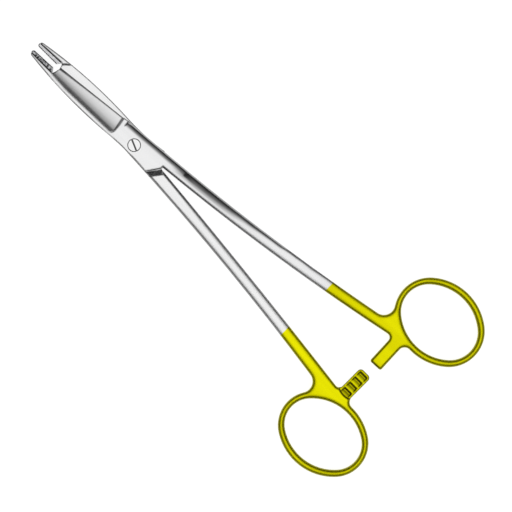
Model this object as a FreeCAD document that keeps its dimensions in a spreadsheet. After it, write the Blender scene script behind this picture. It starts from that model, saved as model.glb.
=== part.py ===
import FreeCAD, Part
import math
import os
import re

import Sketcher
from FreeCAD import Placement, Rotation, Vector

# A needle holder whose jaws are followed by short suture-scissor blades.
#
# Both halves are drawn closed and in one drawing frame: X runs along the instrument towards the
# tips, the line on which the gripping faces meet is y = 0, a half's own finger ring lies at -Y, its
# own jaw at +Y, and its outer face looks up. z = 0 is the plane on which the two halves slide. The
# front half is used as drawn, and the back half is the same drawing turned over about X. Each one
# is then turned about the screw by half of the opening at rest, and lifted, so that the part's
# origin is on the screw's axis at the underside of the joint.

# All lengths are millimetres and all angles degrees.
SIZES = [
    # how far the instrument stands open, and where its screw is
    ("rest_opening", 2.25, "angle between the halves as it lies"),
    ("pivot_offset", 0.8, "screw centre to the closing line"),
    ("lap_gap", 0.04, "running gap between the two sliding faces"),
    ("overcut", 1.0, "how far a cutting outline runs out of the metal"),
    # thickness of the forgings, as half thicknesses about the sliding plane
    ("joint_half", 2.6, "half thickness at the joint"),
    ("ring_half", 1.6, "half thickness at the finger rings"),
    ("tip_half", 1.7, "half thickness at the jaw tips"),
    ("taper_start", 12.0, "screw to the start of the shank's taper"),
    ("taper_end", 88.0, "screw to the end of the shank's taper"),
    ("jaw_taper_start", 28.0, "screw to the start of the jaw's taper"),
    # joint
    ("joint_front", 6.4, "screw to the start of the blade forging"),
    ("joint_out", 3.7, "closing line to the shank's outer edge at the joint front"),
    ("joint_across", 3.85, "closing line to the blade's back at the joint front"),
    ("joint_waist", 3.95, "closing line to the far edge beside the screw"),
    ("joint_waist_place", 1.0, "screw to that place, towards the rings"),
    ("lap_end_outer", 8.25, "screw to the lap end at the far edge"),
    ("lap_end_inner", 11.4, "screw to the lap end at the closing line"),
    ("lap_end_width", 4.7, "closing line to the lap end's outer corner"),
    ("lap_end_corner", 0.45, "closing line to the lap end's inner corner"),
    ("lap_corner_round", 0.5, "rounding of the lap end's outer corner"),
    ("shoulder_gap", 0.12, "lap end to the other half's shoulder, closed"),
    ("shoulder_slope", 1.6, "run of the sloping shoulder"),
    ("crotch_gap", 0.08, "each shank to the closing line at its root"),
    # shanks, each half with its own bow
    ("shank_mid", 45.0, "screw to the middle station of the outer edge"),
    ("front_mid_out", 6.6, "closing line to the outer edge there"),
    ("back_mid_out", 7.4, "closing line to the outer edge there"),
    ("shank_end", 104.0, "screw to where the outer edge meets the ring's middle"),
    ("front_end_out", 14.0, "closing line to the outer edge there"),
    ("back_end_out", 15.05, "closing line to the outer edge there"),
    ("inner_mid", 50.0, "screw to the middle station of the inner edge"),
    ("front_mid_in", 3.0, "closing line to the inner edge there"),
    ("back_mid_in", 3.95, "closing line to the inner edge there"),
    ("front_end_in", 9.95, "closing line to the inner edge at the arm"),
    ("back_end_in", 10.1, "closing line to the inner edge at the arm"),
    # finger rings
    ("front_ring_x", 110.1, "screw to the ring's centre"),
    ("back_ring_x", 107.9, "screw to the ring's centre"),
    ("front_ring_y", 23.55, "closing line to the ring's centre"),
    ("back_ring_y", 23.75, "closing line to the ring's centre"),
    ("front_hole_long", 27.2, "finger hole along the instrument"),
    ("back_hole_long", 26.9, "finger hole along the instrument"),
    ("front_hole_wide", 21.3, "finger hole across the instrument"),
    ("back_hole_wide", 20.4, "finger hole across the instrument"),
    ("front_ring_tilt", -1.0, "turn of the oval"),
    ("back_ring_tilt", -7.0, "turn of the oval"),
    ("oval_fullness", 1.07, "end radius of the ovals, as a multiple of a true ellipse's"),
    ("band_end", 2.0, "width of the ring's band at the ends of the oval"),
    ("band_side", 2.3, "width of the ring's band at the sides of the oval"),
    ("junction_round", 3.6, "hollow corner between shank and ring"),
    # ratchet arms
    ("front_arm_x", 104.3, "screw to the middle of the arm"),
    ("back_arm_x", 103.8, "screw to the middle of the arm"),
    ("arm_width", 4.6, "width of the ratchet arm"),
    ("front_arm_reach", 0.6, "end of the arm past the closing line"),
    ("back_arm_reach", -0.2, "end of the arm past the closing line"),
    ("front_arm_round", 0.7, "corners of the arm's end"),
    ("back_arm_round", 1.3, "corners of the arm's end"),
    ("arm_gap", 0.1, "running gap between the two arms"),
    ("arm_root", 10.4, "closing line to the step at the arm's root"),
    ("arm_root_bow", 0.4, "bow of that step"),
    ("arm_shank_round", 1.5, "hollow corner between arm and shank"),
    ("arm_ring_round", 2.2, "hollow corner between arm and ring"),
    ("tooth_pitch", 2.35, "pitch of the ratchet teeth"),
    ("tooth_depth", 0.7, "depth of the ratchet teeth"),
    ("tooth_count", 4.0, "gaps in the ratchet"),
    ("tooth_catch", 0.6, "run of a tooth's steep side"),
    ("tooth_slide", 1.5, "run of a tooth's gentle side"),
    ("tooth_first", 0.75, "end of the arm to the first tooth gap"),
    ("tooth_rail_near", 1.0, "rail beside the teeth, on the side of the joint"),
    ("tooth_rail_far", 0.5, "rail beside the teeth, on the far side"),
    # broken edges, and the bevel along the outer edge of joint and shank
    ("outer_edge", 0.6, "chamfer round the outer face"),
    ("sliding_edge", 0.65, "chamfer round the sliding side"),
    ("hole_edge", 0.7, "chamfer round the finger hole"),
    ("lap_edge", 0.25, "chamfer of the lap end and the joint's far edge"),
    ("bevel_width", 2.2, "width of the bevel at the joint"),
    ("bevel_drop", 1.3, "how far it falls at the outer edge"),
    ("jaw_round", 0.5, "rounding of the outer edges of blade and jaw"),
    # blades
    ("edge_rear", 3.3, "cutting edge past the closing line, at the joint"),
    ("edge_rear_place", 8.9, "screw to that place"),
    ("edge_front", 1.6, "cutting edge past the closing line, at the blade's end"),
    ("blade_end", 34.0, "screw to the blade's end at the cutting edge"),
    ("blade_end_lean", 0.6, "slant of the blade's end"),
    ("blade_back_place", 28.0, "screw to the middle station of the back"),
    ("blade_back", 3.75, "closing line to the back there"),
    ("edge_thickness", 0.45, "blade thickness at the cutting edge"),
    ("hone_land", 0.1, "upright land left at the cutting edge"),
    ("hone_slope", 45.0, "slope of the honed edge"),
    ("facet_rear", 7.7, "screw to the rear end of the hollow-ground face"),
    ("facet_bow", 1.0, "bow of that rear end"),
    ("facet_rim", 3.1, "closing line to the rim of the hollow-ground face"),
    ("facet_flank", 0.3, "how far the wheel's flank stands outside the rim"),
    ("facet_lean", 1.0, "turn of the rim towards the closing line"),
    ("facet_low", 3.0, "closing line to the deepest line of the hollow"),
    ("facet_corner", 1.7, "rounded corner between its rear end and its rim"),
    ("facet_end_slope", 18.0, "slope of its rear end from upright"),
    # jaws and their hard inserts
    ("jaw_length", 44.5, "screw to the jaw tip"),
    ("nose_out", 1.2, "outer rounding of the jaw's nose"),
    ("nose_in", 0.8, "rounding of the nose at the gripping face"),
    ("nose_lean", 20.0, "lean of the jaw's outer edge where the nose begins"),
    ("jaw_start", 34.9, "screw to the jaw's rear wall near the closing line"),
    ("jaw_step_foot", 0.8, "closing line to where the rear wall starts to fall back"),
    ("jaw_step_width", 2.7, "closing line to the outer end of the rear wall"),
    ("jaw_step_bow", 0.7, "how far the rear wall falls back halfway"),
    ("jaw_step_back", 1.8, "how far the rear wall falls back at its outer end"),
    ("insert_rear", 36.15, "screw to the rear end of the gripping face"),
    ("insert_slant", 1.1, "slant of the insert's rear end"),
    ("insert_thick_rear", 1.6, "insert thickness at its rear"),
    ("insert_thick_tip", 1.25, "insert thickness at the tip"),
    ("seam_chamfer", 0.3, "broken edge of the insert along its seam"),
    ("serration_pitch", 0.8, "pitch of the cross-cut gripping face"),
    ("serration_depth", 0.2, "depth of its grooves"),
    ("serration_width", 0.5, "width of a groove at the face"),
    ("long_groove_count", 5.0, "grooves that run along the gripping face"),
    # screw
    ("head_width", 4.3, "diameter of the screw's head"),
    ("head_height", 1.1, "height of the screw's head"),
    ("head_sink", 0.05, "head below the face of the joint"),
    ("journal_width", 3.0, "diameter of the plain part of the screw"),
    ("journal_gap", 0.03, "radial running gap round screw and head"),
    ("seat_gap", 0.03, "gap under the head and under the journal"),
    ("thread_width", 2.5, "diameter of the threaded end"),
    ("slot_width", 0.55, "width of the screwdriver slot"),
    ("slot_depth", 0.5, "depth of the screwdriver slot"),
    ("slot_turn", -24.6, "direction of the slot"),
    ("end_chamfer", 0.25, "chamfer of the screw's end and head"),
]
NAMES = {name for name, _, _ in SIZES}

# places nearer than CLOSE are the same place, volumes nearer than SAME_VOLUME are the same volume,
# and a point that lies no further out than ON_OVAL times an oval is on it or in it
CLOSE = 0.01
ON_OVAL = 1.02
SAME_VOLUME = 1e-4

doc = FreeCAD.newDocument("needle_holder")
sheet = doc.addObject("Spreadsheet::Sheet", "Sizes")
for row, (name, value, note) in enumerate(SIZES, 1):
    sheet.set(f"A{row}", name)
    sheet.set(f"B{row}", str(value))
    sheet.set(f"C{row}", note)
    sheet.setAlias(f"B{row}", name)
doc.recompute()


def formula(text):
    """Turns a formula in plain size names into one that the document understands."""
    return re.sub(r"[a-z_]+", lambda w: f"Sizes.{w[0]}" if w[0] in NAMES else w[0], text)


def number(text):
    """What a formula comes to now."""
    return float(sheet.evalExpression(formula(text)))


def bind(thing, name, text):
    thing.setExpression(name, formula(text))


def new_sketch(body, name, plane="XY_Plane", height=None):
    """A sketch on one of the body's own planes, raised to a height above it where one is given."""
    sketch = body.newObject("Sketcher::SketchObject", name)
    support = next(f for f in body.Origin.OriginFeatures if f.Role == plane)
    sketch.AttachmentSupport = (support, [""])
    sketch.MapMode = "FlatFace"
    if height:
        bind(sketch, "AttachmentOffset.Base.z", height)
    return sketch


def hold(sketch, element, end, x, y):
    """Ties one point of a sketch to a place given by two formulas."""
    for kind, text in (("DistanceX", x), ("DistanceY", y)):
        index = sketch.addConstraint(Sketcher.Constraint(kind, -1, 1, element, end, number(text)))
        bind(sketch, f"Constraints[{index}]", text)


def draw(sketch, steps, closed=True):
    """Draws an outline. A step is a corner (x, y); a step ("via", x, y) between two corners joins
    them by the arc through that point."""
    corners = []
    for step in steps:
        if step[0] == "via":
            corners[-1]["via"] = step[1:]
        else:
            corners.append({"at": step, "via": None})
    ends = []
    for index, corner in enumerate(corners if closed else corners[:-1]):
        here = Vector(number(corner["at"][0]), number(corner["at"][1]))
        after = corners[(index + 1) % len(corners)]["at"]
        there = Vector(number(after[0]), number(after[1]))
        if corner["via"] is None:
            element = sketch.addGeometry(Part.LineSegment(here, there))
            first = 1
        else:
            between = Vector(number(corner["via"][0]), number(corner["via"][1]))
            element = sketch.addGeometry(Part.Arc(here, between, there))
            first = 1 if sketch.getPoint(element, 1).distanceToPoint(here) < CLOSE else 2
            point = sketch.addGeometry(Part.Point(between), True)
            hold(sketch, point, 1, *corner["via"])
            sketch.addConstraint(Sketcher.Constraint("PointOnObject", point, 1, element))
        ends.append((element, first))
    for index, (element, first) in enumerate(ends):
        hold(sketch, element, first, *corners[index]["at"])
        if closed or index + 1 < len(ends):
            following, start = ends[(index + 1) % len(ends)]
            sketch.addConstraint(
                Sketcher.Constraint("Coincident", element, 3 - first, following, start))
        else:
            hold(sketch, element, 3 - first, *corners[-1]["at"])
    return sketch


def draw_circle(sketch, x, y, diameter):
    circle = sketch.addGeometry(Part.Circle(Vector(number(x), number(y)), Vector(0, 0, 1), 1.0))
    hold(sketch, circle, 3, x, y)
    index = sketch.addConstraint(Sketcher.Constraint("Diameter", circle, number(diameter)))
    bind(sketch, f"Constraints[{index}]", diameter)
    return sketch


def draw_oval(sketch, x, y, length, width, turn):
    """Draws an oval of four tangent arcs by its centre, its two diameters and the turn of its
    long one."""
    long_half, wide_half = f"({length}) / 2", f"({width}) / 2"
    end_radius = f"(oval_fullness * ({wide_half}) ^ 2 / ({long_half}))"
    side_radius = (f"((({long_half} - {end_radius}) ^ 2 + ({wide_half}) ^ 2 - {end_radius} ^ 2)"
                   f" / (2 * ({wide_half} - {end_radius})))")
    meet_along = f"({long_half} - {end_radius}) * {side_radius} / ({side_radius} - {end_radius})"
    meet_across = f"({side_radius} - {wide_half}) * {end_radius} / ({side_radius} - {end_radius})"

    def place(along, across):
        return (f"{x} + ({along}) * cos({turn}) - ({across}) * sin({turn})",
                f"{y} + ({along}) * sin({turn}) + ({across}) * cos({turn})")

    return draw(sketch, [
        place(meet_along, f"-({meet_across})"),
        ("via", *place(long_half, "0")),
        place(meet_along, meet_across),
        ("via", *place("0", wide_half)),
        place(f"-({meet_along})", meet_across),
        ("via", *place(f"-({long_half})", "0")),
        place(f"-({meet_along})", f"-({meet_across})"),
        ("via", *place("0", f"-({wide_half})")),
    ])


def pad(body, sketch, name, length, side="Symmetric", reverse=False):
    feature = body.newObject("PartDesign::Pad", name)
    feature.Profile = sketch
    feature.SideType = side
    feature.Reversed = reverse
    bind(feature, "Length", length)
    doc.recompute()
    return feature


def cut(body, sketch, name, length=None, side="Symmetric", reverse=False):
    """A pocket of a given length, or right through both ways. It must remove something."""
    before = body.Shape.Volume
    feature = body.newObject("PartDesign::Pocket", name)
    feature.Profile = sketch
    feature.SideType = side
    feature.Reversed = reverse
    if length:
        bind(feature, "Length", length)
    else:
        feature.Type = "ThroughAll"
    body.Tip = feature
    doc.recompute()
    if not body.Shape.Volume < before - SAME_VOLUME:
        raise ValueError(f"{name} removes nothing")
    return feature


def is_upright(edge):
    return edge.BoundBox.XLength < CLOSE and edge.BoundBox.YLength < CLOSE


def upright_edge(shape, x, y):
    """The name of the upright edge nearest to a place in plan."""
    best = None
    for index, edge in enumerate(shape.Edges, 1):
        if not is_upright(edge):
            continue
        middle = edge.BoundBox.Center
        gap = math.hypot(middle.x - x, middle.y - y)
        if best is None or gap < best[0]:
            best = (gap, f"Edge{index}")
    return best[1]


def rim_edges(shape):
    """Number and middle of each edge between an upright wall and a face that looks up or down."""
    found = []
    for index, edge in enumerate(shape.Edges, 1):
        if is_upright(edge):
            continue
        middle = edge.valueAt((edge.FirstParameter + edge.LastParameter) / 2)
        steepness = []
        for face in shape.ancestorsOfType(edge, Part.Face):
            u, v = face.Surface.parameter(middle)
            steepness.append(abs(face.normalAt(u, v).z))
        if min(steepness) < 0.5 < max(steepness):
            found.append((index, edge, middle))
    return found


def round_upright(body, name, radius, places):
    """Rounds the upright edges nearest to the given places."""
    tip = body.Tip
    edges = [upright_edge(tip.Shape, number(x), number(y)) for x, y in places]
    feature = body.newObject("PartDesign::Fillet", name)
    feature.Base = (tip, edges)
    bind(feature, "Radius", radius)
    doc.recompute()
    return feature


def oval_reach(point, x, y, length, width, turn):
    """How far out a point lies on an oval's own scale: 1 on the oval, less inside it."""
    angle = math.radians(turn)
    dx, dy = point.x - x, point.y - y
    along = dx * math.cos(angle) + dy * math.sin(angle)
    across = dy * math.cos(angle) - dx * math.sin(angle)
    return math.hypot(along / (length / 2), across / (width / 2))


def rear_blank(side):
    """Joint, shank, finger ring and ratchet arm of one half, with their edges still sharp."""
    body = doc.addObject("PartDesign::Body", f"{side}_rear_blank")
    arm_near = f"-{side}_arm_x + arm_width / 2"
    arm_far = f"-{side}_arm_x - arm_width / 2"
    plate = draw(new_sketch(body, f"{side}_plate_outline"), [
        ("joint_front", "-joint_out"),
        ("via", "-shank_mid", f"-{side}_mid_out"),
        ("-shank_end", f"-{side}_end_out"),
        (arm_far, f"-{side}_end_out"),
        (arm_far, f"{side}_arm_reach"),
        (arm_near, f"{side}_arm_reach"),
        (arm_near, f"-{side}_end_in"),
        ("via", "-inner_mid", f"-{side}_mid_in"),
        ("-lap_end_inner", "-crotch_gap"),
        ("-lap_end_inner", "lap_end_corner"),
        ("-lap_end_outer", "lap_end_width"),
        ("via", "-joint_waist_place", "joint_waist"),
        ("joint_front", "joint_across"),
    ])
    pad(body, plate, f"{side}_plate", "2 * joint_half")
    ring = draw_oval(new_sketch(body, f"{side}_ring_outline"),
                     f"-{side}_ring_x", f"-{side}_ring_y",
                     f"{side}_hole_long + 2 * band_end", f"{side}_hole_wide + 2 * band_side",
                     f"{side}_ring_tilt")
    pad(body, ring, f"{side}_ring", "2 * joint_half")
    round_upright(body, f"{side}_junction", "junction_round",
                  [("-shank_end + junction_round", f"-{side}_end_out")])
    round_upright(body, f"{side}_arm_at_ring", "arm_ring_round",
                  [(arm_far, f"-{side}_ring_y + {side}_hole_wide / 2 + band_side")])
    round_upright(body, f"{side}_arm_at_shank", "arm_shank_round", [(arm_near, f"-{side}_end_in")])
    round_upright(body, f"{side}_lap_corner", "lap_corner_round",
                  [("-lap_end_outer", "lap_end_width")])
    round_upright(body, f"{side}_arm_end", f"{side}_arm_round",
                  [(arm_near, f"{side}_arm_reach"), (arm_far, f"{side}_arm_reach")])
    hole = draw_oval(new_sketch(body, f"{side}_hole_outline"),
                     f"-{side}_ring_x", f"-{side}_ring_y",
                     f"{side}_hole_long", f"{side}_hole_wide", f"{side}_ring_tilt")
    cut(body, hole, f"{side}_finger_hole")
    # the thickness falls in a long S of two arcs from the joint to the rings
    middle = "(taper_start + taper_end) / 2"
    fall = "(joint_half - ring_half)"
    for word, sign in (("top", ""), ("under", "-")):
        profile = draw(new_sketch(body, f"{side}_{word}_taper_outline", "XZ_Plane"), [
            ("-taper_start", f"{sign}joint_half"),
            ("via", "-(3 * taper_start + taper_end) / 4", f"{sign}(joint_half - {fall} / 8)"),
            (f"-{middle}", f"{sign}(joint_half + ring_half) / 2"),
            ("via", "-(taper_start + 3 * taper_end) / 4", f"{sign}(ring_half + {fall} / 8)"),
            ("-taper_end", f"{sign}ring_half"),
            (f"-{side}_ring_x - {side}_hole_long", f"{sign}ring_half"),
            (f"-{side}_ring_x - {side}_hole_long", f"{sign}(joint_half + overcut)"),
            ("-taper_start", f"{sign}(joint_half + overcut)"),
        ])
        cut(body, profile, f"{side}_{word}_taper")
    return body


def rear_edge(side, middle):
    """The chamfer of a rim edge of the rear blank, by the place of its middle."""
    hole = [number(text) for text in (
        f"-{side}_ring_x", f"-{side}_ring_y", f"{side}_hole_long", f"{side}_hole_wide",
        f"{side}_ring_tilt")]
    if oval_reach(middle, *hole) < ON_OVAL:
        return number("hole_edge")
    if middle.x > -number("lap_end_inner") - CLOSE and middle.y > -number("crotch_gap"):
        return number("lap_edge")
    return number("outer_edge" if middle.z > 0 else "sliding_edge")


def broken_rear(side, blank):
    """Chamfers every rim edge of the rear blank, each with the size of its place."""
    feature = doc.addObject("Part::Chamfer", f"{side}_rear_chamfered")
    feature.Base = blank
    edges = []
    for index, _, middle in rim_edges(blank.Shape):
        if middle.x < number("joint_front") - CLOSE:
            edges.append((index, *[rear_edge(side, middle)] * 2))
    feature.Edges = edges
    doc.recompute()
    return feature


def bevel_tool(side):
    """What the belt takes off along the outer edge of joint and shank. The bevel runs level, so
    that it narrows and fades as the shank gets thinner."""
    body = doc.addObject("PartDesign::Body", f"{side}_bevel_tool")
    path = draw(new_sketch(body, f"{side}_bevel_path"), [
        ("joint_front", "-joint_out"),
        ("via", "-shank_mid", f"-{side}_mid_out"),
        ("-shank_end", f"-{side}_end_out"),
    ], closed=False)
    outline = draw(new_sketch(body, f"{side}_bevel_outline", "YZ_Plane", "joint_front"), [
        ("-joint_out + bevel_width", "joint_half"),
        ("-joint_out - overcut", "joint_half - bevel_drop * (1 + overcut / bevel_width)"),
        ("-joint_out - overcut", "joint_half + overcut"),
        ("-joint_out + bevel_width", "joint_half + overcut"),
    ])
    sweep = body.newObject("PartDesign::AdditivePipe", f"{side}_bevel_sweep")
    sweep.Profile = outline
    sweep.Spine = path
    doc.recompute()
    rest = draw(new_sketch(body, f"{side}_bevel_end"), [
        ("-taper_end", "overcut"),
        ("-taper_end", f"-{side}_ring_y"),
        (f"-{side}_ring_x", f"-{side}_ring_y"),
        (f"-{side}_ring_x", "overcut"),
    ])
    cut(body, rest, f"{side}_bevel_stop")
    return body


def blade_blank(side):
    """Blade and jaw of one half with their rounded outer edges, still in one with the insert."""
    body = doc.addObject("PartDesign::Body", f"{side}_blade_blank")
    outline = draw(new_sketch(body, f"{side}_blade_outline"), [
        ("joint_front", "-joint_out"),
        ("edge_rear_place", "-edge_rear"),
        ("blade_end", "-edge_front"),
        ("blade_end + blade_end_lean", "insert_thick_rear / 2"),
        ("jaw_start", "insert_thick_rear"),
        ("insert_rear - insert_slant", "insert_thick_rear"),
        ("insert_rear", "0"),
        ("jaw_length - nose_in", "0"),
        ("via", "jaw_length - nose_in + nose_in * cos(45)", "nose_in - nose_in * sin(45)"),
        ("jaw_length", "nose_in"),
        ("via", "jaw_length - nose_out + nose_out * cos(45 - nose_lean / 2)",
         "nose_in + nose_out * sin(45 - nose_lean / 2)"),
        ("jaw_length - nose_out + nose_out * sin(nose_lean)",
         "nose_in + nose_out * cos(nose_lean)"),
        ("via", "blade_back_place", "blade_back"),
        ("joint_front", "joint_across"),
    ])
    pad(body, outline, f"{side}_blade", "2 * joint_half")
    for word, sign in (("top", ""), ("under", "-")):
        profile = draw(new_sketch(body, f"{side}_{word}_jaw_taper_outline", "XZ_Plane"), [
            ("jaw_taper_start", f"{sign}joint_half"),
            ("jaw_length", f"{sign}tip_half"),
            ("jaw_length + overcut", f"{sign}tip_half"),
            ("jaw_length + overcut", f"{sign}(joint_half + overcut)"),
            ("jaw_taper_start", f"{sign}(joint_half + overcut)"),
        ])
        cut(body, profile, f"{side}_{word}_jaw_taper")
    # the back, the nose and the rims of the gripping face are rounded, the cutting edge is not
    tip = body.Tip
    edges = []
    for index, _, middle in rim_edges(tip.Shape):
        on_back = middle.y > number("insert_thick_rear") + CLOSE
        on_nose = middle.x > number("jaw_length - nose_in") - CLOSE
        if (on_back or on_nose) and middle.x > number("joint_front") + CLOSE:
            edges.append(f"Edge{index}")
    feature = body.newObject("PartDesign::Fillet", f"{side}_jaw_edges")
    feature.Base = (tip, edges)
    bind(feature, "Radius", "jaw_round")
    doc.recompute()
    return body


def facet_tool(side):
    """What the grinding wheel takes off the blade: a hollow face with a sloping, bowed rear end."""
    body = doc.addObject("PartDesign::Body", f"{side}_facet_tool")
    flank = "(facet_rim + facet_flank)"
    corner_way = "facet_corner * (1 - cos(45))"
    prism = draw(new_sketch(body, f"{side}_facet_outline", "XY_Plane", "joint_half"), [
        ("facet_rear + facet_bow", "-joint_across - overcut"),
        ("via", "facet_rear + facet_bow / 4",
         f"({flank} - facet_corner - joint_across - overcut) / 2"),
        ("facet_rear", f"{flank} - facet_corner"),
        ("via", f"facet_rear + {corner_way}", f"{flank} - {corner_way}"),
        ("facet_rear + facet_corner", flank),
        ("jaw_start", flank),
        ("jaw_start", "-joint_across - overcut"),
    ])
    feature = pad(body, prism, f"{side}_facet_prism", "joint_half - edge_thickness / 2",
                  "Two sides", True)
    bind(feature, "Length2", "overcut")
    bind(feature, "TaperAngle", "-facet_end_slope")
    doc.recompute()
    width = "(facet_rim + facet_low)"
    depth = "(joint_half - edge_thickness)"
    radius = f"(({width} ^ 2 + {depth} ^ 2) / (2 * {depth}))"
    hollow = draw(new_sketch(body, f"{side}_hollow_outline", "YZ_Plane"), [
        ("-facet_low", "edge_thickness"),
        ("via", f"-facet_low + {width} / 2",
         f"edge_thickness + {radius} - sqrt({radius} ^ 2 - ({width} / 2) ^ 2)"),
        ("facet_rim", "joint_half"),
        ("facet_rim + joint_half", "2 * joint_half"),
        ("facet_rim + joint_half", "-overcut"),
        ("-joint_across - joint_half", "-overcut"),
        ("-joint_across - joint_half", "edge_thickness"),
    ])
    cut(body, hollow, f"{side}_hollow")
    body.Placement = Placement(Vector(0, 0, 0), Rotation(Vector(0, 0, 1), -number("facet_lean")))
    return body


def hone_tool(side):
    """What the stone takes off along the cutting edge: a narrow slope above the sliding face."""
    body = doc.addObject("PartDesign::Body", f"{side}_hone_tool")
    rise = "(edge_thickness + overcut - hone_land - lap_gap / 2)"
    outline = draw(new_sketch(body, f"{side}_hone_outline", "YZ_Plane", "-overcut"), [
        ("-overcut / tan(hone_slope)", "lap_gap / 2 + hone_land - overcut"),
        (f"{rise} / tan(hone_slope)", f"lap_gap / 2 + hone_land + {rise}"),
        ("-overcut / tan(hone_slope)", f"lap_gap / 2 + hone_land + {rise}"),
    ])
    pad(body, outline, f"{side}_hone_prism", "blade_end - edge_rear_place + 2 * overcut",
        "One side")
    across = number("edge_rear - edge_front")
    along = number("blade_end - edge_rear_place")
    body.Placement = Placement(
        Vector(number("edge_rear_place"), -number("edge_rear"), 0),
        Rotation(Vector(0, 0, 1), math.degrees(math.atan2(across, along))))
    return body


def turn_into_place(thing, side):
    """Sets a drawn half or insert into the instrument, about the screw."""
    half_turn = "rest_opening / 2"
    sign = "" if side == "front" else "-"
    bind(thing, "Placement.Base.x", f"{sign}pivot_offset * sin({half_turn})")
    bind(thing, "Placement.Base.y", f"-pivot_offset * cos({half_turn})")
    bind(thing, "Placement.Base.z", "joint_half")
    if side == "front":
        thing.Placement = Placement(Vector(), Rotation(Vector(0, 0, 1), number(half_turn)))
        bind(thing, "Placement.Rotation.Angle", half_turn)
    else:
        lean = math.radians(number("rest_opening / 4"))
        axis = Vector(math.cos(lean), -math.sin(lean), 0)
        thing.Placement = Placement(Vector(), Rotation(axis, 180))


def half(side, ground):
    """The finished half: sliding face, shoulder, screw bore, seat of the insert and ratchet."""
    body = doc.addObject("PartDesign::Body", f"{side}_half")
    body.BaseFeature = ground
    doc.recompute()
    lean = "((lap_end_inner - lap_end_outer) / (lap_end_width - lap_end_corner))"
    away = f"(shoulder_gap * sqrt(1 + {lean} ^ 2))"

    def shoulder_x(y):
        """Foot of this half's shoulder, which stands off the other half's slanting lap end."""
        return f"-lap_end_inner - {away} - {lean} * (({y}) + lap_end_corner)"

    lap = draw(new_sketch(body, f"{side}_lap_outline", "XY_Plane", "lap_gap / 2"), [
        ("jaw_start", "-joint_across - overcut"),
        ("jaw_start", "jaw_step_foot"),
        ("via", "jaw_start - jaw_step_bow", "(jaw_step_foot + jaw_step_width) / 2"),
        ("jaw_start - jaw_step_back", "jaw_step_width"),
        ("jaw_start - 2 * jaw_step_back", "joint_across + overcut"),
        (shoulder_x("joint_across + overcut"), "joint_across + overcut"),
        (shoulder_x("-joint_across - overcut"), "-joint_across - overcut"),
    ])
    cut(body, lap, f"{side}_lap", "joint_half + overcut", "One side")

    # the shoulder slopes, so that it is cut again across its foot
    ramp = new_sketch(body, f"{side}_ramp_outline", "XY_Plane")
    foot = Vector(number(shoulder_x("0")), 0, number("lap_gap / 2"))
    along = Vector(number(lean), -1, 0).normalize()
    outward = Vector(-along.y, along.x, 0)
    if outward.x > 0:
        outward = outward * -1
    up = Vector(0, 0, 1)
    ramp.AttachmentOffset = Placement(foot, Rotation(outward, up, outward.cross(up), "ZXY"))
    draw(ramp, [
        ("-overcut", "0"),
        ("0", "0"),
        ("shoulder_slope", "-joint_half - lap_gap / 2"),
        ("shoulder_slope", "-joint_half - overcut"),
        ("-overcut", "-joint_half - overcut"),
    ])
    cut(body, ramp, f"{side}_ramp")

    pivot_y = "pivot_offset" if side == "front" else "-pivot_offset"
    if side == "front":
        bore = draw_circle(new_sketch(body, "journal_bore_outline"), "0", pivot_y,
                           "journal_width + 2 * journal_gap")
        cut(body, bore, "journal_bore")
        recess = draw_circle(
            new_sketch(body, "head_recess_outline", "XY_Plane", "joint_half"), "0", pivot_y,
            "head_width + 2 * journal_gap")
        cut(body, recess, "head_recess", "head_sink + head_height + seat_gap", "One side")
    else:
        bore = draw_circle(new_sketch(body, "thread_bore_outline"), "0", pivot_y, "thread_width")
        cut(body, bore, "thread_bore")

    # the ratchet arm keeps only its outer half, so that the two arms pass each other
    near = f"-{side}_arm_x + arm_width / 2"
    far = f"-{side}_arm_x - arm_width / 2"
    step = draw(new_sketch(body, f"{side}_arm_step_outline", "XY_Plane", "arm_gap / 2"), [
        (f"{near} + arm_shank_round", "-arm_root + arm_shank_round"),
        (f"{near} + arm_shank_round", f"{side}_arm_reach + overcut"),
        (f"{far} - arm_ring_round", f"{side}_arm_reach + overcut"),
        (f"{far} - arm_ring_round", "-arm_root + arm_shank_round"),
        (far, "-arm_root + arm_root_bow"),
        ("via", f"-{side}_arm_x", "-arm_root"),
        (near, "-arm_root + arm_root_bow"),
    ])
    cut(body, step, f"{side}_arm_step", "ring_half + overcut", "One side")
    face = "arm_gap / 2"
    first = f"{side}_arm_reach - tooth_first"
    tooth = draw(new_sketch(body, f"{side}_tooth_outline", "YZ_Plane", f"-{side}_arm_x"), [
        (first, face),
        (f"{first} - tooth_catch", f"{face} + tooth_depth"),
        (f"{first} - tooth_catch - tooth_slide", face),
        (f"{first} - tooth_catch - tooth_slide", f"{face} - overcut"),
        (first, f"{face} - overcut"),
    ])
    gap = cut(body, tooth, f"{side}_tooth_gap", "arm_width - tooth_rail_near - tooth_rail_far")
    repeat(body, gap, f"{side}_ratchet", (tooth, ["H_Axis"]), "tooth_pitch", "tooth_count", True)

    # the hard insert lies in a step along the gripping side of the jaw
    cut(body, insert_outline(body, f"{side}_seat_outline"), f"{side}_insert_seat")
    return body


def repeat(body, feature, name, direction, pitch, count, reverse=False):
    """Repeats a feature in a row."""
    row = body.newObject("PartDesign::LinearPattern", name)
    row.Originals = [feature]
    row.Direction = direction
    row.Reversed = reverse
    bind(row, "Length", f"{pitch} * ({count} - 1)")
    bind(row, "Occurrences", count)
    body.Tip = row
    doc.recompute()


def insert_outline(body, name):
    """The part of the jaw that its hard insert takes, and the seat that is cut for it."""
    return draw(new_sketch(body, name), [
        ("insert_rear - insert_slant", "insert_thick_rear"),
        ("jaw_length", "insert_thick_tip"),
        ("jaw_length + overcut", "insert_thick_tip"),
        ("jaw_length + overcut", "-overcut"),
        ("insert_rear - insert_slant", "-overcut"),
    ])


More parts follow.
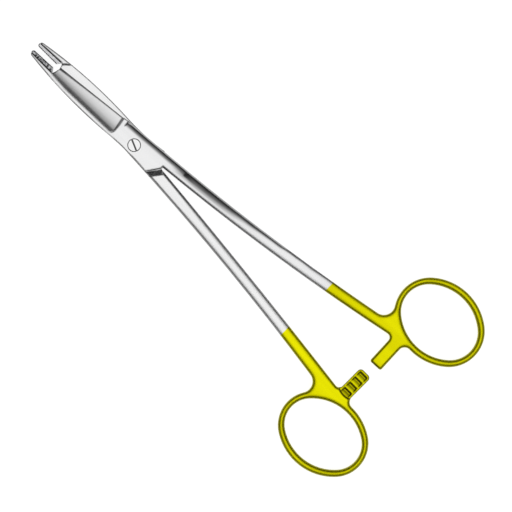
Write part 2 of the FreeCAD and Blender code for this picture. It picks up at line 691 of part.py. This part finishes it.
def jaw_insert(side, blade):
    """A hard insert of the jaw's own section, with a cross-cut gripping face."""
    zone = doc.addObject("PartDesign::Body", f"{side}_insert_zone")
    pad(zone, insert_outline(zone, f"{side}_insert_outline"), f"{side}_insert_prism",
        "2 * joint_half + overcut")
    plain = doc.addObject("Part::Common", f"{side}_plain_insert")
    plain.Base = blade
    plain.Tool = zone
    doc.recompute()
    body = doc.addObject("PartDesign::Body", f"{side}_jaw_insert")
    body.BaseFeature = plain
    doc.recompute()
    tip = body.Tip
    seam = body.newObject("PartDesign::Chamfer", f"{side}_seam")
    seam.Base = (tip, [f"Edge{index}" for index, _, middle in rim_edges(tip.Shape)
                       if middle.y > number("insert_thick_tip")])
    bind(seam, "Size", "seam_chamfer")
    doc.recompute()
    first = "insert_rear + serration_pitch"
    across = draw(new_sketch(body, f"{side}_cross_groove_outline"), [
        (first, "serration_depth"),
        (f"{first} + serration_width / 2", "0"),
        (f"{first} + serration_width / 2", "-overcut"),
        (f"{first} - serration_width / 2", "-overcut"),
        (f"{first} - serration_width / 2", "0"),
    ])
    groove = cut(body, across, f"{side}_cross_groove")
    repeat(body, groove, f"{side}_cross_grooves", (across, ["H_Axis"]), "serration_pitch",
           "floor((jaw_length - insert_rear - nose_in) / serration_pitch)")
    lowest = "(1 - long_groove_count) / 2 * serration_pitch"
    along = draw(new_sketch(body, f"{side}_long_groove_outline", "YZ_Plane"), [
        ("serration_depth", lowest),
        ("0", f"{lowest} + serration_width / 2"),
        ("-overcut", f"{lowest} + serration_width / 2"),
        ("-overcut", f"{lowest} - serration_width / 2"),
        ("0", f"{lowest} - serration_width / 2"),
    ])
    groove = cut(body, along, f"{side}_long_groove")
    repeat(body, groove, f"{side}_long_grooves", (along, ["V_Axis"]), "serration_pitch",
           "long_groove_count")
    return body


def pivot_screw():
    """The slotted screw: head flush in the front half, plain journal, threaded end."""
    body = doc.addObject("PartDesign::Body", "pivot_screw")
    journal_foot = "joint_half - lap_gap / 2 + seat_gap"
    under_head = "2 * joint_half - head_sink - head_height"
    profile = draw(new_sketch(body, "screw_outline", "XZ_Plane"), [
        ("0", "0"),
        ("thread_width / 2 - end_chamfer", "0"),
        ("thread_width / 2", "end_chamfer"),
        ("thread_width / 2", journal_foot),
        ("journal_width / 2", journal_foot),
        ("journal_width / 2", under_head),
        ("head_width / 2", under_head),
        ("head_width / 2", "2 * joint_half - head_sink - end_chamfer"),
        ("head_width / 2 - end_chamfer", "2 * joint_half - head_sink"),
        ("0", "2 * joint_half - head_sink"),
    ])
    turned = body.newObject("PartDesign::Revolution", "turned_screw")
    turned.Profile = profile
    turned.ReferenceAxis = (profile, ["V_Axis"])
    turned.Angle = 360
    doc.recompute()
    slot = new_sketch(body, "slot_outline", "XY_Plane", "2 * joint_half - head_sink")
    bind(slot, "AttachmentOffset.Rotation.Angle", "slot_turn")
    draw(slot, [
        ("-head_width", "-slot_width / 2"),
        ("head_width", "-slot_width / 2"),
        ("head_width", "slot_width / 2"),
        ("-head_width", "slot_width / 2"),
    ])
    cut(body, slot, "slot", "slot_depth", "One side")
    return body


def check_and_export(nodes):
    failed = [o.Name for o in doc.Objects if {"Invalid", "Error"} & set(o.State)]
    if failed:
        raise ValueError(f"failed: {failed}")
    for node in nodes:
        if node.Shape.isNull() or not node.Shape.isValid():
            raise ValueError(f"{node.Label} has no valid shape")
    os.makedirs("parts", exist_ok=True)
    for node in nodes:
        node.Shape.exportStep(f"parts/{node.Label}.step")


nodes = []
for side in ("front", "back"):
    blank = rear_blank(side)
    broken = broken_rear(side, blank)
    blade = blade_blank(side)
    joined = doc.addObject("Part::Fuse", f"{side}_joined")
    joined.Base = broken
    joined.Tool = blade
    joined.Refine = True
    bevelled = doc.addObject("Part::Cut", f"{side}_bevelled")
    bevelled.Base = joined
    bevelled.Tool = bevel_tool(side)
    hollow = doc.addObject("Part::Cut", f"{side}_hollow_ground")
    hollow.Base = bevelled
    hollow.Tool = facet_tool(side)
    ground = doc.addObject("Part::Cut", f"{side}_ground")
    ground.Base = hollow
    ground.Tool = hone_tool(side)
    doc.recompute()
    for node in (half(side, ground), jaw_insert(side, blade)):
        turn_into_place(node, side)
        doc.recompute()
        nodes.append(node)
nodes.append(pivot_screw())
doc.recompute()
check_and_export(nodes)
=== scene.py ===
import math

import bmesh
import bpy
from mathutils import Matrix, Vector


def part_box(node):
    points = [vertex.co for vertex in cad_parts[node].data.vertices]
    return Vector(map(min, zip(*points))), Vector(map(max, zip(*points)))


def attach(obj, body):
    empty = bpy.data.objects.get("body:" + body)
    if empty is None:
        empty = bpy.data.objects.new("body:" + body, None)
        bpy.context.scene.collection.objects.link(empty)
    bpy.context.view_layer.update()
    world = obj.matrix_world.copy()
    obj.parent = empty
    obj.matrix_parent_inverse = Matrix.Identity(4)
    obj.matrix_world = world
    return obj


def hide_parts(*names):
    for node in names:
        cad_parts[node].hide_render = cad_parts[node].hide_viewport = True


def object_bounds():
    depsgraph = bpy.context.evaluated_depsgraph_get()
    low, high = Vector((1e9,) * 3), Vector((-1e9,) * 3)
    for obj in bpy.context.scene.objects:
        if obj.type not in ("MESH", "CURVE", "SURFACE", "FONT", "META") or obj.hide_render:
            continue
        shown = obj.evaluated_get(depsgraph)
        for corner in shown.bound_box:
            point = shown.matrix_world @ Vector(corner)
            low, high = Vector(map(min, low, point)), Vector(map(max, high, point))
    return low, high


# A combined needle holder and suture scissors, lying on a white table under soft studio light.
# Each solid is shown as a merged copy whose rounded edges shade smoothly, in the real piece's
# finish. Only the outer side of the long bevel gets a new shape: it is rolled over into the wall.

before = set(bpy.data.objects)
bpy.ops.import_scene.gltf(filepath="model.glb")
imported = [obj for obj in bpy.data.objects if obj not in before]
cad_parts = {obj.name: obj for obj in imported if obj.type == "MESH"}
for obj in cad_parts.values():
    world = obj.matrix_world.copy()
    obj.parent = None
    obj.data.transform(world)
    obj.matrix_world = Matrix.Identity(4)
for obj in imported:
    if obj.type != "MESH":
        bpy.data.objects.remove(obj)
cad_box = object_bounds()

MM = 0.001

# The photograph, in its own pixels: 512 wide and high, seen straight from above.
PHOTO_WIDTH = 512
MM_PER_PIXEL = 0.32
PIVOT_PIXEL = Vector((134.5, 145.5))
INSTRUMENT_TURN = math.radians(43.7)

# Where the gold plating starts, measured from the pivot towards the rings, and how sharp its
# masked line is.
FRONT_PLATING_START = 76.2 * MM
BACK_PLATING_START = 75.7 * MM
MASK_BLUR = 0.05 * MM

# How round the edges are. The joint, the blades and the ratchet are stoned and stay crisp, and the
# shanks and rings are tumbled round. The change takes a stretch, from so far behind the screw to so
# far, and from so far round the ratchet's middle. The screw's seat keeps a sharp edge.
CRISP_RADIUS = 0.75 * MM
TUMBLED_RADIUS = 1.5 * MM
BEHIND_SCREW = (20 * MM, 34 * MM)
RATCHET_MIDDLE = (-103.5 * MM, 0, cad_box[1][2] / 2)
ROUND_RATCHET = (12 * MM, 15 * MM)
SCREW_FACE = (0, 0, cad_box[1][2])
ROUND_SCREW = (2.2 * MM, 3.4 * MM)

# The hollow-ground face of each blade: between its rear end and the jaw, and to both sides of the
# line on which the blades close.
HOLLOW_START = 7.2 * MM
HOLLOW_END = 34.9 * MM
HOLLOW_REACH = 3.3 * MM
HOLLOW_LEAN = (math.radians(1), math.radians(42))

# The long bevel along the joint and the shank, the wall outside it, and how far the edge between
# them is rolled over.
BEVEL_WIDTH = 2.2 * MM
BEVEL_LEAN = (math.radians(25), math.radians(35))
WALL_LEAN = math.radians(80)
ROLLED_OVER = 0.7 * MM

# Two faces that meet at less than ROUND_ANGLE shade as one rounded surface. HOLLOW_ANGLE holds
# where one of them is hollow ground, so that the honed edge beside it stays sharp.
ROUND_ANGLE = math.radians(32)
HOLLOW_ANGLE = math.radians(25)

# Corners nearer than SAME_PLACE are one, faces that meet at less than SAME_PLANE are one, and an
# edge shorter than NO_LENGTH is taken out.
SAME_PLACE = 0.0005 * MM
SAME_PLANE = math.radians(0.05)
NO_LENGTH = 0.002 * MM


# Colours and shader nodes

def linear(hex_colour):
    """An sRGB hex colour as the linear colour that a shader takes."""
    channels = [int(hex_colour[i:i + 2], 16) / 255 for i in (1, 3, 5)]
    lit = [c / 12.92 if c <= 0.04045 else ((c + 0.055) / 1.055) ** 2.4 for c in channels]
    return (*lit, 1.0)


def add(tree, kind, inputs=None, stops=(), **settings):
    """Adds a node with its settings. Each input is another node's output or a constant, and stops
    are a ramp's places and colours."""
    node = tree.nodes.new(kind)
    for name, value in settings.items():
        setattr(node, name, value)
    for socket, source in (inputs or {}).items():
        if isinstance(source, bpy.types.NodeSocket):
            tree.links.new(source, node.inputs[socket])
        else:
            node.inputs[socket].default_value = source
    for index, (place, colour) in enumerate(stops):
        if index >= len(node.color_ramp.elements):
            node.color_ramp.elements.new(place)
        node.color_ramp.elements[index].position = place
        node.color_ramp.elements[index].color = linear(colour)
    return node


def new_material(name, shader_inputs):
    """A metal. shader_inputs takes the node tree, and gives what the metal's shader gets."""
    material = bpy.data.materials.new(name)
    material.use_nodes = True
    tree = material.node_tree
    tree.nodes.clear()
    metal = add(tree, "ShaderNodeBsdfPrincipled", {"Metallic": 1.0, **shader_inputs(tree)})
    add(tree, "ShaderNodeOutputMaterial", {"Surface": metal.outputs[0]})
    return material


# Materials

def gilt_steel(name, plating_start):
    """Forged martensitic stainless steel with bright gold plating over its rear part. The flats are
    belt ground and satin polished, which gives soft white faces with a faint lengthwise grain. The
    rounded edges get a painted shade of darker grey, and recesses a darker painted shade still. The
    blades' hollow faces show grinding lines across the blade, are drawn a little darker and get no
    painted edge shade. The plating starts at a sharp masked line, is smoother than the steel, and
    looks a deep greenish yellow that the painted edge shade turns olive along the rounded edges."""
    # The belt's grain and the wheel's lines are some hundredths of a millimetre wide, too fine to
    # show here, so both are drawn coarser.
    grain_width = 0.22 * MM
    grain_length = 7 * MM
    grinding_line = 0.3 * MM
    grinding_length = 6 * MM
    cloud_size = 6 * MM
    recess_reach = 0.6 * MM

    def shader_inputs(tree):
        spot = add(tree, "ShaderNodeTexCoord")
        place = spot.outputs["Object"]
        hollow = add(tree, "ShaderNodeAttribute", attribute_name="hollow_ground")
        where = add(tree, "ShaderNodeSeparateXYZ", {"Vector": place})
        from_screw = add(tree, "ShaderNodeVectorMath", {0: place, 1: SCREW_FACE},
                         operation="DISTANCE")
        clear_of_screw = add(tree, "ShaderNodeMapRange", {
            "Value": from_screw.outputs["Value"],
            "From Min": ROUND_SCREW[0], "From Max": ROUND_SCREW[1]})
        from_ratchet = add(tree, "ShaderNodeVectorMath", {0: place, 1: RATCHET_MIDDLE},
                           operation="DISTANCE")
        clear_of_ratchet = add(tree, "ShaderNodeMapRange", {
            "Value": from_ratchet.outputs["Value"],
            "From Min": ROUND_RATCHET[0], "From Max": ROUND_RATCHET[1]})
        behind_joint = add(tree, "ShaderNodeMapRange", {
            "Value": where.outputs["X"],
            "From Min": -BEHIND_SCREW[0], "From Max": -BEHIND_SCREW[1]})
        tumbled = add(tree, "ShaderNodeMath", {
            0: behind_joint.outputs[0], 1: clear_of_ratchet.outputs[0]}, operation="MULTIPLY")
        radius = add(tree, "ShaderNodeMapRange", {
            "Value": tumbled.outputs[0], "To Min": CRISP_RADIUS, "To Max": TUMBLED_RADIUS})
        edge_radius = add(tree, "ShaderNodeMath", {
            0: radius.outputs[0], 1: clear_of_screw.outputs[0]}, operation="MULTIPLY")
        rounded = add(tree, "ShaderNodeBevel", {"Radius": edge_radius.outputs[0]}, samples=8)
        rounded_in_piece = add(tree, "ShaderNodeVectorTransform", {"Vector": rounded.outputs[0]},
                               vector_type="NORMAL", convert_from="WORLD", convert_to="OBJECT")
        facing = add(tree, "ShaderNodeSeparateXYZ", {"Vector": rounded_in_piece.outputs[0]})
        level = add(tree, "ShaderNodeMath", {0: facing.outputs["Z"]}, operation="ABSOLUTE")

        plated = add(tree, "ShaderNodeMapRange", {
            "Value": where.outputs["X"],
            "From Min": -plating_start - MASK_BLUR, "From Max": -plating_start + MASK_BLUR,
            "To Min": 1.0, "To Max": 0.0})
        along = add(tree, "ShaderNodeMapping", {
            "Vector": place, "Scale": (grain_width / grain_length, 1, 1)})
        brushed = add(tree, "ShaderNodeTexNoise", {
            "Vector": along.outputs[0], "Scale": 1 / grain_width, "Detail": 3.0,
            "Roughness": 0.6})
        across = add(tree, "ShaderNodeMapping", {
            "Vector": place, "Scale": (1, grinding_line / grinding_length, 1)})
        ground = add(tree, "ShaderNodeTexNoise", {
            "Vector": across.outputs[0], "Scale": 1 / grinding_line, "Detail": 3.0,
            "Roughness": 0.6})
        texture = add(tree, "ShaderNodeMix", {
            0: hollow.outputs["Fac"], 2: brushed.outputs[0], 3: ground.outputs[0]})

        cloud = add(tree, "ShaderNodeTexNoise", {
            "Vector": along.outputs[0], "Scale": 1 / cloud_size, "Detail": 2.0})
        steel = add(tree, "ShaderNodeValToRGB", {"Fac": cloud.outputs[0]}, [
            (0.3, "#EDEDEE"), (0.7, "#F6F6F6")])
        gold = add(tree, "ShaderNodeValToRGB", {"Fac": cloud.outputs[0]}, [
            (0.3, "#DAD404"), (0.7, "#F0EC06")])
        metal = add(tree, "ShaderNodeMix", {
            0: plated.outputs[0], 6: steel.outputs[0], 7: gold.outputs[0]}, data_type="RGBA")

        # Painted shade on the rounded edges, by how level the surface is: from an upright wall, 0,
        # over the rounded edge to a level face, 1. The hollow-ground face is left out.
        painted_edge_shade = add(tree, "ShaderNodeValToRGB", {"Fac": level.outputs[0]}, [
            (0.0, "#FFFFFF"), (0.08, "#909090"), (0.2, "#707070"), (0.35, "#B0B0B0"),
            (0.6, "#B0B0B0"), (0.78, "#747474"), (0.88, "#747474"), (0.95, "#909090"),
            (0.985, "#D8D8D8"), (0.997, "#FFFFFF")])
        not_hollow = add(tree, "ShaderNodeMath", {0: 1.0, 1: hollow.outputs["Fac"]},
                         operation="SUBTRACT")
        with_painted_edge_shade = add(tree, "ShaderNodeMix", {
            0: not_hollow.outputs[0], 6: metal.outputs[2], 7: painted_edge_shade.outputs[0]},
            data_type="RGBA", blend_type="MULTIPLY")
        # The hollow-ground face is drawn a little darker.
        hollow_face_darker = add(tree, "ShaderNodeMix", {
            0: hollow.outputs["Fac"], 6: with_painted_edge_shade.outputs[2], 7: linear("#F8F8F8")},
            data_type="RGBA", blend_type="MULTIPLY")
        # Painted shade in recesses, darkest where the piece closes round.
        recess = add(tree, "ShaderNodeAmbientOcclusion", {"Distance": recess_reach},
                     only_local=True, samples=12)
        painted_recess_shade = add(tree, "ShaderNodeValToRGB", {"Fac": recess.outputs["AO"]}, [
            (0.2, "#383838"), (0.6, "#A8A8A8"), (0.92, "#FFFFFF")])
        colour = add(tree, "ShaderNodeMix", {
            0: 1.0, 6: hollow_face_darker.outputs[2], 7: painted_recess_shade.outputs[0]},
            data_type="RGBA", blend_type="MULTIPLY")

        steel_rough = add(tree, "ShaderNodeMapRange", {
            "Value": texture.outputs[0], "From Min": 0.3, "From Max": 0.7,
            "To Min": 0.17, "To Max": 0.27})
        gold_rough = add(tree, "ShaderNodeMapRange", {
            "Value": texture.outputs[0], "From Min": 0.3, "From Max": 0.7,
            "To Min": 0.13, "To Max": 0.19})
        rough = add(tree, "ShaderNodeMix", {
            0: plated.outputs[0], 2: steel_rough.outputs[0], 3: gold_rough.outputs[0]})
        bump = add(tree, "ShaderNodeBump", {
            "Height": texture.outputs[0], "Normal": rounded.outputs[0],
            "Strength": 0.12, "Distance": 0.02 * MM})
        return {"Base Color": colour.outputs[2], "Roughness": rough.outputs[0],
                "Normal": bump.outputs[0]}

    return new_material(name, shader_inputs)


def sintered_carbide(name, dark, light):
    """Hard sintered insert, ground flush with the jaw: greyer than the steel, with a coarse speckle
    of bright and dark grains. Its cross-cut gripping face comes from the solid. Its edges, sides and
    recesses get painted shade."""
    # The grains are some thousandths of a millimetre, too fine to show, so they are drawn coarser.
    grain = 0.55 * MM
    recess_reach = 0.5 * MM

    def shader_inputs(tree):
        spot = add(tree, "ShaderNodeTexCoord")
        facing = add(tree, "ShaderNodeSeparateXYZ", {"Vector": spot.outputs["Normal"]})
        level = add(tree, "ShaderNodeMath", {0: facing.outputs["Z"]}, operation="ABSOLUTE")
        speckle = add(tree, "ShaderNodeTexNoise", {
            "Vector": spot.outputs["Object"], "Scale": 1 / grain, "Detail": 3.0,
            "Roughness": 0.7})
        tone = add(tree, "ShaderNodeValToRGB", {"Fac": speckle.outputs[0]}, [
            (0.42, dark), (0.6, light)])
        # Painted shade on the edges and sides, by how level the surface is.
        painted_edge_shade = add(tree, "ShaderNodeValToRGB", {"Fac": level.outputs[0]}, [
            (0.0, "#D0D0D0"), (0.5, "#606060"), (0.8, "#444444"), (0.97, "#FFFFFF")])
        tone_with_edge_shade = add(tree, "ShaderNodeMix", {
            0: 1.0, 6: tone.outputs[0], 7: painted_edge_shade.outputs[0]},
            data_type="RGBA", blend_type="MULTIPLY")
        # Painted shade in recesses, such as between the cross-cut teeth.
        recess = add(tree, "ShaderNodeAmbientOcclusion", {"Distance": recess_reach},
                     only_local=True, samples=12)
        painted_recess_shade = add(tree, "ShaderNodeValToRGB", {"Fac": recess.outputs["AO"]}, [
            (0.3, "#303030"), (0.9, "#FFFFFF")])
        colour = add(tree, "ShaderNodeMix", {
            0: 1.0, 6: tone_with_edge_shade.outputs[2], 7: painted_recess_shade.outputs[0]},
            data_type="RGBA", blend_type="MULTIPLY")
        rough = add(tree, "ShaderNodeMapRange", {
            "Value": speckle.outputs[0], "From Min": 0.3, "From Max": 0.7,
            "To Min": 0.28, "To Max": 0.42})
        bump = add(tree, "ShaderNodeBump", {
            "Height": speckle.outputs[0], "Strength": 0.35, "Distance": 0.04 * MM})
        return {"Base Color": colour.outputs[2], "Roughness": rough.outputs[0],
                "Normal": bump.outputs[0]}

    return new_material(name, shader_inputs)


def turned_steel(name):
    """Stainless bar, turned and polished. The head shows fine turning rings round its axis and a
    bright face. Its slot and other recesses get painted shade, and its edge and sides a painted
    shade by how far they turn from level."""
    # The rings are finer than a tenth of a millimetre, too fine to show, so they are drawn coarser.
    ring_width = 0.25 * MM
    recess_reach = 0.8 * MM

    def shader_inputs(tree):
        spot = add(tree, "ShaderNodeTexCoord")
        facing = add(tree, "ShaderNodeSeparateXYZ", {"Vector": spot.outputs["Normal"]})
        level = add(tree, "ShaderNodeMath", {0: facing.outputs["Z"]}, operation="ABSOLUTE")
        rings = add(tree, "ShaderNodeTexWave", {
            "Vector": spot.outputs["Object"], "Scale": 1 / (2 * math.pi * ring_width),
            "Distortion": 0.3, "Detail": 1.0},
            wave_type="RINGS", rings_direction="Z")
        tone = add(tree, "ShaderNodeValToRGB", {"Fac": rings.outputs["Fac"]}, [
            (0.0, "#F0F0F1"), (1.0, "#FAFAFA")])
        # Painted shade on the edge and sides, by how level the surface is.
        painted_edge_shade = add(tree, "ShaderNodeValToRGB", {"Fac": level.outputs[0]}, [
            (0.0, "#B0B0B0"), (0.5, "#8A8A8A"), (0.8, "#909090"), (0.97, "#FFFFFF")])
        tone_with_edge_shade = add(tree, "ShaderNodeMix", {
            0: 1.0, 6: tone.outputs[0], 7: painted_edge_shade.outputs[0]},
            data_type="RGBA", blend_type="MULTIPLY")
        # Painted shade in the slot and other recesses.
        recess = add(tree, "ShaderNodeAmbientOcclusion", {"Distance": recess_reach},
                     only_local=True, samples=12)
        painted_recess_shade = add(tree, "ShaderNodeValToRGB", {"Fac": recess.outputs["AO"]}, [
            (0.35, "#1C1C1C"), (0.7, "#7A7A7A"), (0.92, "#FFFFFF")])
        colour = add(tree, "ShaderNodeMix", {
            0: 1.0, 6: tone_with_edge_shade.outputs[2], 7: painted_recess_shade.outputs[0]},
            data_type="RGBA", blend_type="MULTIPLY")
        rough = add(tree, "ShaderNodeMapRange", {
            "Value": rings.outputs["Fac"], "To Min": 0.14, "To Max": 0.22})
        bump = add(tree, "ShaderNodeBump", {
            "Height": rings.outputs["Fac"], "Strength": 0.05, "Distance": 0.01 * MM})
        return {"Base Color": colour.outputs[2], "Roughness": rough.outputs[0],
                "Normal": bump.outputs[0]}

    return new_material(name, shader_inputs)


# Pieces

def lean(face):
    """How far a face leans from lying flat, whichever side is up."""
    return math.acos(min(abs(face.normal.z), 1))


def is_hollow(face):
    """Whether a face belongs to the hollow-ground face of a blade."""
    middle = face.calc_center_median()
    return (HOLLOW_START < middle.x < HOLLOW_END and abs(middle.y) < HOLLOW_REACH
            and HOLLOW_LEAN[0] < lean(face) < HOLLOW_LEAN[1])


def roll_bevel_over(shape):
    """Rolls the outer side of the long bevel over into the wall."""
    outer = []
    for edge in shape.edges:
        leans = sorted(lean(face) for face in edge.link_faces)
        long_edge = edge.calc_length() > BEVEL_WIDTH and edge.verts[0].co.x < HOLLOW_START
        between = BEVEL_LEAN[0] < leans[0] < BEVEL_LEAN[1] and leans[-1] > WALL_LEAN
        if edge.is_convex and long_edge and between:
            outer.append(edge)
    bmesh.ops.bevel(shape, geom=outer, offset=ROLLED_OVER, offset_type="OFFSET", segments=3,
                    profile=0.5, affect="EDGES", clamp_overlap=False, material=-1)
    bmesh.ops.dissolve_degenerate(shape, dist=NO_LENGTH, edges=shape.edges)
    shape.normal_update()


def rounded_normals(shape):
    """A normal for each face corner. The faces that round into each other there count by the
    square of their areas, so the broad ones stay flat."""
    areas = {face: face.calc_area() / MM ** 2 for face in shape.faces}
    normals = []
    for face in shape.faces:
        for corner in face.verts:
            # The fan grows while it is walked, until no smooth edge at the corner leads on.
            fan = [face]
            for near in fan:
                fan += [other for edge in near.edges if edge.smooth and corner in edge.verts
                        for other in edge.link_faces if other not in fan]
            normals.append(sum((near.normal * areas[near] ** 2 for near in fan), Vector()))
    return [normal.normalized() for normal in normals]


def smooth_copy(node, body, slot, material):
    """Shows a solid as one closed smooth mesh: its flats stay flat and its rounded edges round."""
    mesh = bpy.data.meshes.new(f"{node}_finish")
    shape = bmesh.new()
    shape.from_mesh(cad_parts[node].data)
    bmesh.ops.remove_doubles(shape, verts=shape.verts, dist=SAME_PLACE)
    bmesh.ops.dissolve_limit(shape, angle_limit=SAME_PLANE, use_dissolve_boundaries=False,
                             verts=shape.verts, edges=shape.edges)
    shape.normal_update()
    if slot == "gilt_steel":
        roll_bevel_over(shape)
    hollow = {face for face in shape.faces if is_hollow(face)}
    marks = [face in hollow for face in shape.faces]
    for face in shape.faces:
        face.smooth = True
        face.material_index = 0
    for edge in shape.edges:
        limit = ROUND_ANGLE if hollow.isdisjoint(edge.link_faces) else HOLLOW_ANGLE
        edge.smooth = edge.calc_face_angle(math.pi) < limit
    normals = rounded_normals(shape)
    shape.to_mesh(mesh)
    shape.free()
    mesh.attributes.new("hollow_ground", "FLOAT", "FACE").data.foreach_set("value", marks)
    mesh.normals_split_custom_set(normals)
    mesh.materials.append(material)
    piece = bpy.data.objects.new(f"{node}_finish", mesh)
    bpy.context.scene.collection.objects.link(piece)
    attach(piece, body)
    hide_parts(node)


smooth_copy("front_half", "front", "gilt_steel",
            gilt_steel("front_gilt_steel", FRONT_PLATING_START))
smooth_copy("back_half", "back", "gilt_steel", gilt_steel("back_gilt_steel", BACK_PLATING_START))
# The front insert is a darker copy of the same carbide: its darker tone is painted shade over its
# cross-cut face.
smooth_copy("front_jaw_insert", "front", "hard_insert",
            sintered_carbide("carbide_painted_darker", "#2A2A2C", "#D8D8DA"))
smooth_copy("back_jaw_insert", "back", "hard_insert",
            sintered_carbide("light_carbide", "#C4C4C6", "#F0F0F2"))
smooth_copy("pivot_screw", "back", "screw_steel", turned_steel("turned_steel"))


# Table, light and camera

def white_table():
    """A pale table under the instrument. The eye and the metal see it white, with a soft shadow."""
    half_width = 1500 * MM
    gap = 0.02 * MM
    height = cad_box[0][2] - gap
    shape = bmesh.new()
    bmesh.ops.create_grid(shape, x_segments=1, y_segments=1, size=half_width,
                          matrix=Matrix.Translation((0, 0, height)))
    mesh = bpy.data.meshes.new("table")
    shape.to_mesh(mesh)
    shape.free()
    table = bpy.data.objects.new("table", mesh)
    bpy.context.scene.collection.objects.link(table)
    material = bpy.data.materials.new("white_laminate")
    material.use_nodes = True
    tree = material.node_tree
    tree.nodes.clear()
    path = add(tree, "ShaderNodeLightPath")
    seen = add(tree, "ShaderNodeMath", {
        0: path.outputs["Is Camera Ray"], 1: path.outputs["Is Glossy Ray"]}, operation="MAXIMUM")
    shown = add(tree, "ShaderNodeMath", {
        0: seen.outputs[0], 1: path.outputs["Is Transmission Ray"]}, operation="MAXIMUM")
    paper = add(tree, "ShaderNodeBsdfDiffuse", {"Color": linear("#E7E7E7")})
    pale = add(tree, "ShaderNodeBsdfDiffuse", {"Color": linear("#AEAEAE")})
    glow = add(tree, "ShaderNodeEmission", {"Color": linear("#FFFFFF"), "Strength": 0.86})
    lit = add(tree, "ShaderNodeAddShader", {0: pale.outputs[0], 1: glow.outputs[0]})
    both = add(tree, "ShaderNodeMixShader", {
        0: shown.outputs[0], 1: paper.outputs[0], 2: lit.outputs[0]})
    add(tree, "ShaderNodeOutputMaterial", {"Surface": both.outputs[0]})
    mesh.materials.append(material)


def studio_light():
    """A white tent overhead, with the dark room between it and the pale horizon: darkest on the
    side of the front ring, half lit on the other."""
    side_blend = 0.25
    world = bpy.data.worlds.new("studio")
    bpy.context.scene.world = world
    world.use_nodes = True
    tree = world.node_tree
    tree.nodes.clear()
    direction = add(tree, "ShaderNodeTexCoord").outputs["Generated"]
    axes = add(tree, "ShaderNodeSeparateXYZ", {"Vector": direction})
    height = add(tree, "ShaderNodeMath", {0: axes.outputs["Z"]}, operation="ARCCOSINE")
    # The ramps' places are degrees from straight up, over the 180 down to straight below.
    from_top = add(tree, "ShaderNodeMath", {0: height.outputs[0], 1: math.pi}, operation="DIVIDE")
    dark_side = add(tree, "ShaderNodeValToRGB", {"Fac": from_top.outputs[0]}, [
        (0.0, "#FFFFFF"), (10 / 180, "#FAFAFA"), (22 / 180, "#F4F4F4"), (36 / 180, "#E4E4E4"),
        (44 / 180, "#D0D0D0"), (52 / 180, "#A8A8A8"), (62 / 180, "#484848"),
        (76 / 180, "#303030"), (83 / 180, "#B0B0B0"), (88 / 180, "#F4F4F4")])
    light_side = add(tree, "ShaderNodeValToRGB", {"Fac": from_top.outputs[0]}, [
        (0.0, "#FFFFFF"), (10 / 180, "#FAFAFA"), (24 / 180, "#EAEAEA"), (42 / 180, "#C8C8C8"),
        (56 / 180, "#A0A0A0"), (76 / 180, "#989898"), (83 / 180, "#D0D0D0"),
        (88 / 180, "#F4F4F4")])
    side = add(tree, "ShaderNodeMapRange", {
        "Value": axes.outputs["Y"], "From Min": -side_blend, "From Max": side_blend,
        "To Min": 1.0, "To Max": 0.0})
    tent = add(tree, "ShaderNodeMix", {
        0: side.outputs[0], 6: light_side.outputs[0], 7: dark_side.outputs[0]}, data_type="RGBA")
    light = add(tree, "ShaderNodeBackground", {"Color": tent.outputs[2], "Strength": 1.0})
    add(tree, "ShaderNodeOutputWorld", {"Surface": light.outputs[0]})


def photo_camera():
    """A long lens straight above, turned so that the instrument lies as in the photograph."""
    along = Vector((math.cos(INSTRUMENT_TURN), math.sin(INSTRUMENT_TURN)))
    right = Vector((-along.x, -along.y, 0))
    up = Vector((along.y, -along.x, 0))
    off_centre = Vector((PHOTO_WIDTH / 2, PHOTO_WIDTH / 2)) - PIVOT_PIXEL
    centre = (right * off_centre.x - up * off_centre.y) * MM_PER_PIXEL * MM
    data = bpy.data.cameras.new("photo_camera")
    data.lens = 200
    data.sensor_width = 36
    distance = PHOTO_WIDTH * MM_PER_PIXEL * MM * data.lens / data.sensor_width
    joint_middle = sum(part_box("back_half")[i].z for i in (0, 1)) / 2
    camera = bpy.data.objects.new("photo_camera", data)
    turn = Matrix((right, up, Vector((0, 0, 1)))).transposed().to_4x4()
    camera.matrix_world = Matrix.Translation(centre + Vector((0, 0, joint_middle + distance))) @ turn
    data.clip_end = 10
    bpy.context.scene.collection.objects.link(camera)
    bpy.context.scene.camera = camera


white_table()
studio_light()
photo_camera()
bpy.context.scene.view_settings.view_transform = "Standard"
